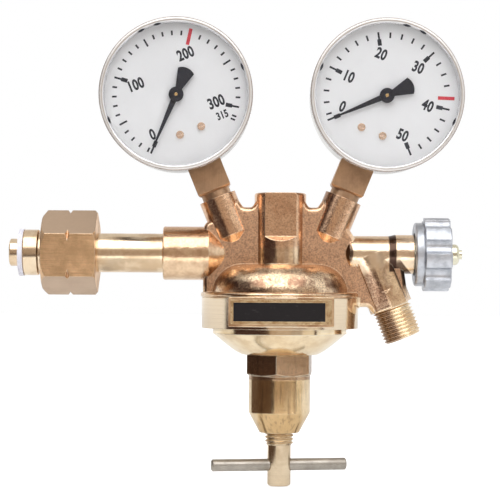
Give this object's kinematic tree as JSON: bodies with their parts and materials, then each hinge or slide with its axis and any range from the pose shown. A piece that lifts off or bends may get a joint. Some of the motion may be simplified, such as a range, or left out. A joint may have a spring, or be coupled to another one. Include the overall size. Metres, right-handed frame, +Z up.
{
  "type": "forming gas regulator",
  "caption": "Cylinder pressure regulator in brass with an inlet union, pressure and flow gauges, a screw-loaded diaphragm bonnet, an outlet valve and a threaded hose outlet.",
  "frame": {"origin": "centre of the inlet sealing face, where the union seats on the cylinder valve", "axes": "+X along the inlet towards the body, +Y away from the dials' viewer, +Z up along the main axis of the body, opposite to the adjusting screw"},
  "size_m": [0.185, 0.0654, 0.1896],
  "materials": {
    "cast_brass": "as forged, satin, with polished highlights on its edges",
    "turned_brass": "turned and polished",
    "nut_brass": "milled, with fine tool lines, dull",
    "bonnet_brass": "turned, bright",
    "bright_brass": "plain bright brass",
    "seal_ring": "white seal ring",
    "sintered_bronze": "sintered, porous",
    "plate_black": "pressed plate, black field in a pale brass border",
    "black_rubber": "rubber",
    "ring_steel": "plain steel",
    "spring_steel": "drawn wire",
    "bar_steel": "drawn steel",
    "seat_plastic": "hard sealing plastic",
    "packing_white": "packing ring",
    "wheel_alloy": "cast alloy, satin",
    "case_steel": "black enamelled steel case",
    "window_clear": "clear moulded window",
    "dial_white": "white enamel with black print",
    "pointer_black": "black pointer",
    "movement_brass": "stamped brass",
    "block_brass": "dull milled brass"
  },
  "bodies": {
    "regulator": {"regulator_body": "cast_brass", "inlet_stem": "turned_brass", "inlet_gasket": "seal_ring", "inlet_filter": "sintered_bronze", "bonnet": "bonnet_brass", "name_plate": "plate_black", "diaphragm": "black_rubber", "slip_ring": "ring_steel", "valve_seat": "bright_brass", "poppet_spring": "spring_steel", "main_spring": "spring_steel", "spindle_packing": "packing_white", "gland_nut": "bright_brass", "inlet_gauge_case": "case_steel", "inlet_gauge_relief_plug": "black_rubber", "inlet_gauge_window": "window_clear", "inlet_gauge_dial": "dial_white", "inlet_gauge_dial_screws": "bright_brass", "inlet_gauge_movement_frame": "movement_brass", "inlet_gauge_bourdon_tube": "movement_brass", "inlet_gauge_tip_link": "movement_brass", "inlet_gauge_stem_block": "block_brass", "outlet_gauge_case": "case_steel", "outlet_gauge_relief_plug": "black_rubber", "outlet_gauge_window": "window_clear", "outlet_gauge_dial": "dial_white", "outlet_gauge_dial_screws": "bright_brass", "outlet_gauge_movement_frame": "movement_brass", "outlet_gauge_bourdon_tube": "movement_brass", "outlet_gauge_tip_link": "movement_brass", "outlet_gauge_stem_block": "block_brass"},
    "union_nut": {"inlet_nut": "nut_brass"},
    "valve_train": {"push_pin": "ring_steel", "spring_plate": "ring_steel", "poppet": "bright_brass"},
    "button": {"spring_button": "ring_steel"},
    "screw": {"adjusting_screw": "turned_brass", "tee_bar": "bar_steel"},
    "disc": {"valve_disc": "seat_plastic"},
    "spindle": {"valve_spindle": "bright_brass", "handwheel": "wheel_alloy", "handwheel_nut": "bright_brass"},
    "inlet_gauge_sector": {"inlet_gauge_sector_gear": "movement_brass"},
    "inlet_gauge_hand": {"inlet_gauge_pointer": "pointer_black", "inlet_gauge_pinion": "movement_brass"},
    "outlet_gauge_sector": {"outlet_gauge_sector_gear": "movement_brass"},
    "outlet_gauge_hand": {"outlet_gauge_pointer": "pointer_black", "outlet_gauge_pinion": "movement_brass"}
  },
  "joints": [
    {"name": "inlet_nut_spin", "type": "hinge", "parent": "regulator", "child": "union_nut", "pos_m": [0.02085, 0, 0], "axis": [1, 0, 0], "continuous": true},
    {"name": "valve_lift", "type": "slide", "parent": "regulator", "child": "valve_train", "axis": [0, 0, 1], "range_m": [0, 0.0008], "stiffness_N_per_m": 800, "springref_m": -0.005, "deforming": ["poppet_spring", "diaphragm"]},
    {"name": "tee_bar_turn", "type": "hinge", "parent": "button", "child": "screw", "pos_m": [0.1067, 0, -0.07], "axis": [0, 0, 1], "range_deg": [0, 2160]},
    {"name": "spring_button_slide", "type": "slide", "parent": "regulator", "child": "button", "axis": [0, 0, 1], "range_m": [0, 0.009], "deforming": ["main_spring"]},
    {"name": "handwheel_turn", "type": "hinge", "parent": "disc", "child": "spindle", "pos_m": [0.1567, 0, 0], "axis": [1, 0, 0], "range_deg": [0, 900]},
    {"name": "valve_disc_slide", "type": "slide", "parent": "regulator", "child": "disc", "axis": [1, 0, 0], "range_m": [0, 0.0025]},
    {"name": "inlet_gauge_sector_swing", "type": "hinge", "parent": "regulator", "child": "inlet_gauge_sector", "pos_m": [0.06873, 0, 0.05271], "axis": [0, -1, 0], "range_deg": [0, 38.57], "stiffness_Nm_per_rad": 0.01, "springref_deg": -5.73},
    {"name": "inlet_gauge_pointer_turn", "type": "hinge", "parent": "regulator", "child": "inlet_gauge_hand", "pos_m": [0.0642, 0, 0.06382], "axis": [0, 1, 0], "range_deg": [0, 270]},
    {"name": "outlet_gauge_sector_swing", "type": "hinge", "parent": "regulator", "child": "outlet_gauge_sector", "pos_m": [0.14467, 0, 0.05271], "axis": [0, -1, 0], "range_deg": [0, 38.57], "stiffness_Nm_per_rad": 0.01, "springref_deg": -5.73},
    {"name": "outlet_gauge_pointer_turn", "type": "hinge", "parent": "regulator", "child": "outlet_gauge_hand", "pos_m": [0.1492, 0, 0.06382], "axis": [0, 1, 0], "range_deg": [0, 270]}
  ],
  "couplings": [
    {"joint": "spring_button_slide", "follows": "tee_bar_turn", "m_per_rad": 0.0002387},
    {"joint": "valve_disc_slide", "follows": "handwheel_turn", "m_per_rad": 0.000159},
    {"joint": "inlet_gauge_pointer_turn", "follows": "inlet_gauge_sector_swing", "ratio": 7},
    {"joint": "outlet_gauge_pointer_turn", "follows": "outlet_gauge_sector_swing", "ratio": 7}
  ]
}
